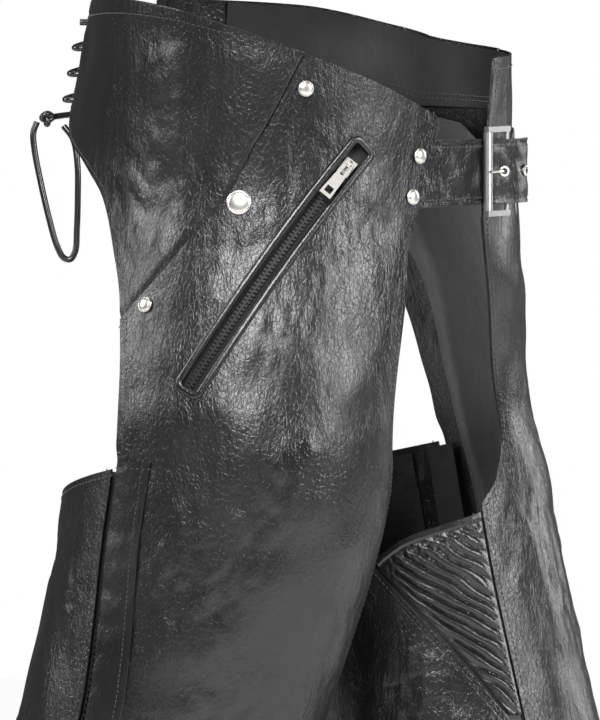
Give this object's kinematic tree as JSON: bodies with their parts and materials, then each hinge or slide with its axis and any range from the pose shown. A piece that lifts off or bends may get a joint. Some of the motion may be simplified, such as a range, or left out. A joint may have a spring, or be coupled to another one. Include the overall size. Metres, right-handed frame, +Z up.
{
  "type": "lace-back leather riding chaps",
  "caption": "Full-length lace-back leather leg chaps with buckled front belt, slanted zip pockets, side leg zips, stretch thigh gussets and laced rear yoke.",
  "frame": {"origin": "centre of the waist at the height of the belt buckle, between the two legs", "axes": "+Z up towards the waist edge, -Y forward through the buckle, +X to the wearer's left"},
  "size_m": [0.4654, 0.6015, 1.0613],
  "materials": {
    "leather": "black semi-gloss pebbled leather",
    "facing": "smooth dark grey leather facing",
    "lining": "smooth black lining cloth",
    "zip_chain": "dark zip teeth on black tape",
    "nickel": "polished nickel",
    "lace": "black glossy round leather lace"
  },
  "bodies": {
    "chaps": {"pocket_rivet_lower_right": "nickel", "snap_cap_right": "nickel", "pocket_rivet_upper_right": "nickel", "belt_rivet_upper_right": "nickel", "belt_rivet_lower_right": "nickel", "front_panel_right": "leather", "hip_yoke_right": "leather", "rear_panel_right": "leather", "stretch_gusset_right": "leather", "waist_facing_right": "facing", "front_lining_right": "lining", "rear_lining_right": "lining", "zip_placket_right": "leather", "leg_zip_chain_right": "zip_chain", "pocket_zip_chain_right": "zip_chain", "pocket_welt_right": "leather", "pocket_bag_right": "lining", "pocket_rivet_lower_left": "nickel", "snap_cap_left": "nickel", "pocket_rivet_upper_left": "nickel", "belt_rivet_upper_left": "nickel", "belt_rivet_lower_left": "nickel", "front_panel_left": "leather", "hip_yoke_left": "leather", "rear_panel_left": "leather", "stretch_gusset_left": "leather", "waist_facing_left": "facing", "front_lining_left": "lining", "rear_lining_left": "lining", "zip_placket_left": "leather", "leg_zip_chain_left": "zip_chain", "pocket_zip_chain_left": "zip_chain", "pocket_welt_left": "leather", "pocket_bag_left": "lining", "belt_strap": "leather", "strap_eyelet_1": "nickel", "strap_eyelet_2": "nickel", "buckle_frame": "nickel", "belt_chape": "leather", "lace": "lace", "lace_knot": "lace", "lace_loop": "lace"},
    "pocket_zip_slider_right": {"pocket_zip_slider_right": "nickel"},
    "pocket_zip_pull_right": {"pocket_zip_pull_right": "nickel"},
    "leg_zip_slider_right": {"leg_zip_slider_right": "nickel"},
    "leg_zip_pull_right": {"leg_zip_pull_right": "nickel"},
    "pocket_zip_slider_left": {"pocket_zip_slider_left": "nickel"},
    "pocket_zip_pull_left": {"pocket_zip_pull_left": "nickel"},
    "leg_zip_slider_left": {"leg_zip_slider_left": "nickel"},
    "leg_zip_pull_left": {"leg_zip_pull_left": "nickel"},
    "buckle_roller": {"buckle_roller": "nickel"},
    "buckle_tongue": {"buckle_tongue": "nickel"}
  },
  "joints": [
    {"name": "pocket_zip_slide_right", "type": "hinge", "parent": "chaps", "child": "pocket_zip_slider_right", "pos_m": [0.32403, 0.09176, -0.24997], "axis": [-0.0699, 0.8727, 0.4832], "range_deg": [-16.89, 0]},
    {"name": "pocket_pull_swing_right", "type": "hinge", "parent": "pocket_zip_slider_right", "child": "pocket_zip_pull_right", "pos_m": [-0.10507, -0.08843, 0.01024], "axis": [0.3595, -0.6895, -0.6287], "range_deg": [-120, 0]},
    {"name": "leg_zip_slide_right", "type": "slide", "parent": "chaps", "child": "leg_zip_slider_right", "axis": [0.0545, -0.2854, 0.9569], "range_m": [0, 0.56]},
    {"name": "leg_pull_swing_right", "type": "hinge", "parent": "leg_zip_slider_right", "child": "leg_zip_pull_right", "pos_m": [-0.22995, 0.22764, -0.9254], "axis": [-0.1568, -0.9488, -0.2741], "range_deg": [-120, 0]},
    {"name": "pocket_zip_slide_left", "type": "hinge", "parent": "chaps", "child": "pocket_zip_slider_left", "pos_m": [-0.06988, 0.30989, 0.00777], "axis": [-0.7315, -0.2842, -0.6198], "range_deg": [-21.2, 0]},
    {"name": "pocket_pull_swing_left", "type": "hinge", "parent": "pocket_zip_slider_left", "child": "pocket_zip_pull_left", "pos_m": [0.09027, -0.09885, 0.00892], "axis": [0.5214, 0.6383, 0.5663], "range_deg": [-120, 0]},
    {"name": "leg_zip_slide_left", "type": "slide", "parent": "chaps", "child": "leg_zip_slider_left", "axis": [-0.0549, 0.2619, 0.9635], "range_m": [0, 0.56]},
    {"name": "leg_pull_swing_left", "type": "hinge", "parent": "leg_zip_slider_left", "child": "leg_zip_pull_left", "pos_m": [0.22998, -0.18047, -0.92588], "axis": [-0.1256, 0.9555, -0.2668], "range_deg": [-120, 0]},
    {"name": "buckle_roller_spin", "type": "hinge", "parent": "chaps", "child": "buckle_roller", "pos_m": [0.005, -0.124, 0.0025], "axis": [0, 0, 1], "continuous": true},
    {"name": "buckle_tongue_swing", "type": "hinge", "parent": "chaps", "child": "buckle_tongue", "pos_m": [0.025, -0.126, 0.0025], "axis": [0, 0, 1], "range_deg": [0, 4]}
  ]
}
